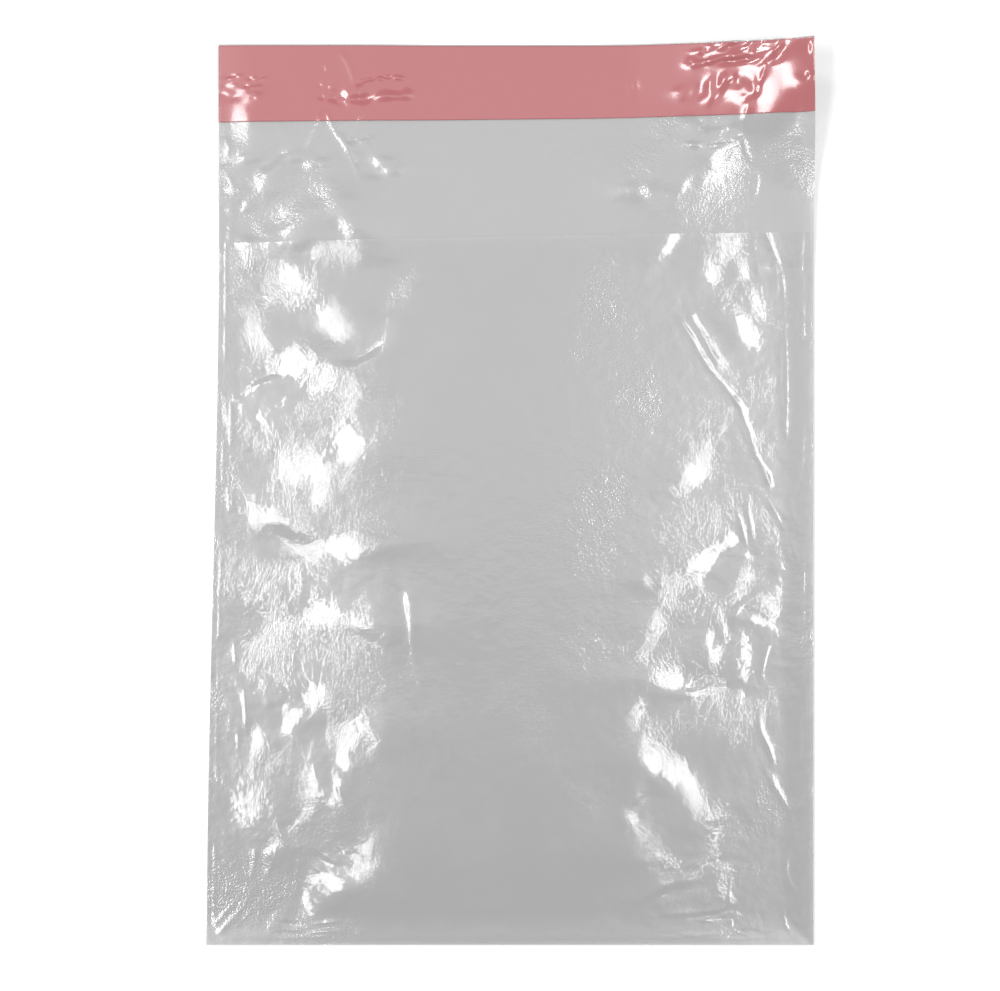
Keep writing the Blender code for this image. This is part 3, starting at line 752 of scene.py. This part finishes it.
def make_back_panel():
    """The back panel and, past the mouth, the lip. It touches the table but for the lip's waves."""
    rows = np.concatenate([
        spaced(BOTTOM_Y, BOTTOM_Y + EDGE_WIDTH, 0.5 * FLAT_ROW_PITCH)[:-1],
        spaced(BOTTOM_Y + EDGE_WIDTH, MOUTH_Y - 24.0, FLAT_ROW_PITCH)[:-1],
        spaced(MOUTH_Y - 24.0, LIP_END_Y, LIP_PITCH),
    ])
    points = grid_points(columns(LIP_PITCH), rows, lambda x, y: back_height(x, y) + 0.5 * FILM)
    # The back panel and lip carry the bag's grey as a flat grey diffuse over 0.8 of the sheet, though the real film
    # is clear
    return sheet_object("back_panel_and_lip", points, film_material("grey_tinted_blown_polyethylene", 0.8, "#A8A8A8"))


def make_front_panel():
    """The front panel, held up by air, as a left and a right half that meet along the middle. Its outermost
    points lie on the back panel's edge, where it is welded."""
    near_fold = BOTTOM_Y + 16.0
    rows = np.concatenate([
        [BOTTOM_Y],
        spaced(BOTTOM_Y + WELD_WIDTH, near_fold, 0.5 * ROW_PITCH)[:-1],
        spaced(near_fold, MOUTH_Y, ROW_PITCH),
    ])
    shares = columns()
    base = 0.5 * FILM + WELD_STEP
    points = grid_points(shares, rows, lambda x, y: back_height(x, y) + base + pocket_height(x, y))
    welded = back_height(points[..., 0], np.broadcast_to(rows[:, None], points.shape[:2])) + 0.5 * FILM
    for edge in (np.s_[:, 0], np.s_[:, -1], np.s_[0, :]):
        points[edge][..., 2] = welded[edge]
    material = film_material("clear_blown_polyethylene", 0.12, "#909090")
    middle = len(shares) // 2
    left = sheet_object("front_panel_left", points[:, : middle + 1], material)
    right = sheet_object("front_panel_right", points[:, middle:], material)
    return left, right


def make_strip(name, start_y, end_y, inset, height, thickness, material, pitch=SIDE_PITCH):
    """A flat strip that follows the lip at a small height."""
    shares = columns(pitch, min(2.0 * pitch, MIDDLE_PITCH))
    inside = (shares * WIDTH > inset) & (shares * WIDTH < WIDTH - inset)
    shares = np.concatenate([[inset / WIDTH], shares[inside], [1.0 - inset / WIDTH]])
    rows = spaced(start_y, end_y, pitch)
    points = grid_points(shares, rows, lambda x, y: back_height(x, y) + FILM + height)
    strip = sheet_object(name, points, material)
    solid = strip.modifiers.new("thickness", "SOLIDIFY")
    solid.thickness = thickness * MM
    solid.offset = 1.0
    return strip


def make_floor():
    """A plain white table, far wider than the view."""
    size = 6.0
    mesh = bpy.data.meshes.new("floor")
    mesh.from_pydata([(-size, -size, 0), (size, -size, 0), (size, size, 0), (-size, size, 0)], [], [(0, 1, 2, 3)])
    material, tree = new_material("white_table")
    plain = add_node(tree, "ShaderNodeBsdfDiffuse", inputs={"Color": linear("#F8F8F8")})
    seen = add_node(tree, "ShaderNodeEmission", inputs={"Color": (1.0, 1.0, 1.0, 1.0), "Strength": 1.0})
    path = add_node(tree, "ShaderNodeLightPath")
    rays = add_node(
        tree,
        "ShaderNodeMath",
        {"operation": "MAXIMUM"},
        links={0: (path, "Is Camera Ray"), 1: (path, "Is Glossy Ray")},
    )
    rays = add_node(
        tree, "ShaderNodeMath", {"operation": "MAXIMUM"}, links={0: (rays, 0), 1: (path, "Is Transmission Ray")}
    )
    share = add_node(tree, "ShaderNodeMath", {"operation": "MULTIPLY"}, inputs={1: 0.15}, links={0: (rays, 0)})
    both = add_node(tree, "ShaderNodeMixShader", links={0: (share, 0), 1: (plain, 0), 2: (seen, 0)})
    add_node(tree, "ShaderNodeOutputMaterial", links={"Surface": (both, 0)})
    mesh.materials.append(material)
    floor = bpy.data.objects.new("floor", mesh)
    bpy.context.scene.collection.objects.link(floor)
    floor.location.z = -0.0001
    return floor


def add_lamp(name, place, size_x, size_y, radiance, turn=(0.0, 0.0, 0.0)):
    """A rectangular soft lamp that can't be seen itself. A flat lamp gives out pi times area times radiance."""
    lamp = bpy.data.lights.new(name, "AREA")
    lamp.shape = "RECTANGLE"
    lamp.size, lamp.size_y = size_x, size_y
    lamp.energy = math.pi * size_x * size_y * radiance
    made = bpy.data.objects.new(name, lamp)
    bpy.context.scene.collection.objects.link(made)
    made.location = place
    made.rotation_euler = turn
    made.visible_camera = False
    return made


def light_scene():
    """One long soft box to each side, a pale ceiling that ends above the bag's lower part, and an even surround."""
    middle, width = 0.5 * (LAMP_FROM + LAMP_TO), LAMP_TO - LAMP_FROM
    for side in (-1.0, 1.0):
        add_lamp("soft_box", (side * middle, 0.0, LAMP_HEIGHT), width, LAMP_LENGTH, LAMP_RADIANCE)
    add_lamp("key_light", KEY_PLACE, KEY_SIZE, KEY_SIZE, KEY_RADIANCE, KEY_TURN)
    middle_y, length = 0.5 * (CEILING_FROM + CEILING_TO), CEILING_TO - CEILING_FROM
    add_lamp("pale_ceiling", (0.0, middle_y, LAMP_HEIGHT), CEILING_WIDTH, length, CEILING_RADIANCE)
    world = bpy.data.worlds.new("surround")
    bpy.context.scene.world = world
    world.use_nodes = True
    world.node_tree.nodes["Background"].inputs["Color"].default_value = (1.0, 1.0, 1.0, 1.0)
    world.node_tree.nodes["Background"].inputs["Strength"].default_value = WORLD_STRENGTH


def add_camera():
    """Straight above the bag, as in the photograph."""
    camera = bpy.data.cameras.new("camera")
    camera.sensor_width = SENSOR_WIDTH
    camera.lens = SENSOR_WIDTH * CAMERA_HEIGHT / PICTURE_WIDTH
    made = bpy.data.objects.new("camera", camera)
    bpy.context.scene.collection.objects.link(made)
    made.location = (*PICTURE_CENTRE, CAMERA_HEIGHT)
    bpy.context.scene.camera = made


def main():
    back = make_back_panel()
    for panel in (back, *make_front_panel()):
        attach(panel, "root")
        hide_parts("bag_film")
    glue = make_strip(
        "adhesive_layer", GLUE_START_Y, GLUE_END_Y, GLUE_INSET, GLUE_HEIGHT, GLUE_THICKNESS,
        plain_material("acrylic_adhesive", "#CFBFBB", 0.4),
    )
    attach(glue, "root")
    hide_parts("adhesive_strip")
    liner = make_strip(
        "peel_off_liner", LINER_START_Y, LINER_END_Y, 0.0, LINER_HEIGHT, LINER_THICKNESS,
        plain_material("pink_polyethylene_film", "#AF676A", 0.2, coat=1.0), LINER_PITCH,
    )
    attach(liner, "root")
    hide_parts("release_liner")
    make_floor()
    light_scene()
    add_camera()
    bpy.context.scene.view_settings.view_transform = "Standard"


main()
